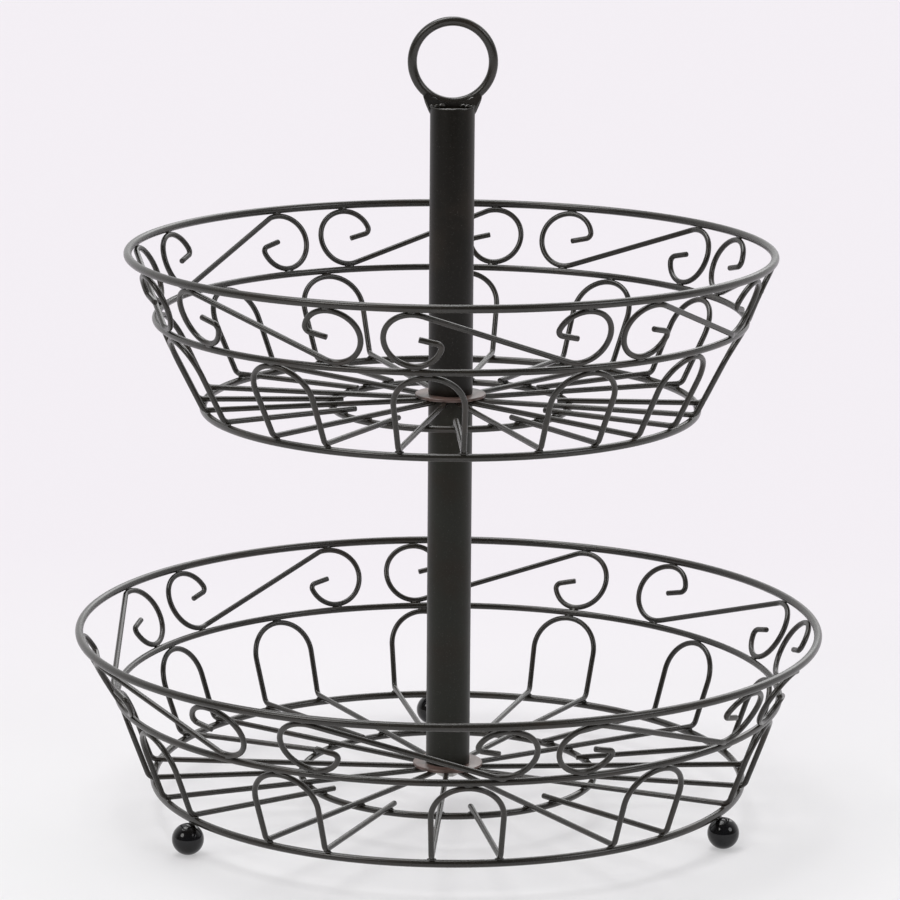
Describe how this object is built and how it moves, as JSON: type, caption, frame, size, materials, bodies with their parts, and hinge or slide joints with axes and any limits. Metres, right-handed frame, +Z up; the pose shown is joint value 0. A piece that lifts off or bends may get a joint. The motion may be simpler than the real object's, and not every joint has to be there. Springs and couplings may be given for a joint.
{
  "type": "tiered wire basket",
  "caption": "Round wire fruit basket in tiers on a centre post, with scrollwork walls, arched wires that run in as floor spokes, ball feet and a ring handle.",
  "frame": {"origin": "on the floor, on the centre post's axis, level with the flats of the ball feet", "axes": "+Z up along the post; the handle ring's plane is XZ and the picture's front is -Y"},
  "size_m": [0.3739, 0.374, 0.4002],
  "materials": {
    "wire_coat": "semi-gloss dark charcoal powder coat",
    "post_coat": "satin dark charcoal powder coat",
    "foot_gloss": "high-gloss black enamel",
    "plain_steel": "zinc-plated"
  },
  "bodies": {
    "stand": {"lower_rim_ring": "wire_coat", "lower_middle_ring": "wire_coat", "lower_base_ring": "wire_coat", "lower_hub_ring": "wire_coat", "lower_hub_disc": "post_coat", "lower_arch_01": "wire_coat", "lower_arch_02": "wire_coat", "lower_arch_03": "wire_coat", "lower_arch_04": "wire_coat", "lower_arch_05": "wire_coat", "lower_arch_06": "wire_coat", "lower_arch_07": "wire_coat", "lower_arch_08": "wire_coat", "lower_arch_09": "wire_coat", "lower_arch_10": "wire_coat", "lower_arch_11": "wire_coat", "lower_arch_12": "wire_coat", "lower_scroll_1": "wire_coat", "lower_scroll_2": "wire_coat", "lower_scroll_3": "wire_coat", "lower_scroll_4": "wire_coat", "lower_scroll_5": "wire_coat", "lower_scroll_6": "wire_coat", "lower_scroll_7": "wire_coat", "lower_scroll_8": "wire_coat", "ball_foot_1": "foot_gloss", "ball_foot_2": "foot_gloss", "ball_foot_3": "foot_gloss", "lower_post_tube": "post_coat", "upper_post_tube": "post_coat", "tube_inserts": "plain_steel", "joining_stud": "plain_steel", "base_bolt": "plain_steel", "handle_ring": "wire_coat", "ring_saddle": "post_coat"},
    "upper_tier": {"upper_rim_ring": "wire_coat", "upper_middle_ring": "wire_coat", "upper_base_ring": "wire_coat", "upper_hub_ring": "wire_coat", "upper_hub_disc": "post_coat", "upper_arch_01": "wire_coat", "upper_arch_02": "wire_coat", "upper_arch_03": "wire_coat", "upper_arch_04": "wire_coat", "upper_arch_05": "wire_coat", "upper_arch_06": "wire_coat", "upper_arch_07": "wire_coat", "upper_arch_08": "wire_coat", "upper_arch_09": "wire_coat", "upper_arch_10": "wire_coat", "upper_arch_11": "wire_coat", "upper_arch_12": "wire_coat", "upper_scroll_1": "wire_coat", "upper_scroll_2": "wire_coat", "upper_scroll_3": "wire_coat", "upper_scroll_4": "wire_coat", "upper_scroll_5": "wire_coat", "upper_scroll_6": "wire_coat", "upper_scroll_7": "wire_coat", "upper_scroll_8": "wire_coat"}
  },
  "joints": [
    {"name": "upper_tier_swivel", "type": "hinge", "parent": "stand", "child": "upper_tier", "pos_m": [0, 0, 0.21178], "axis": [0, 0, 1], "continuous": true}
  ]
}
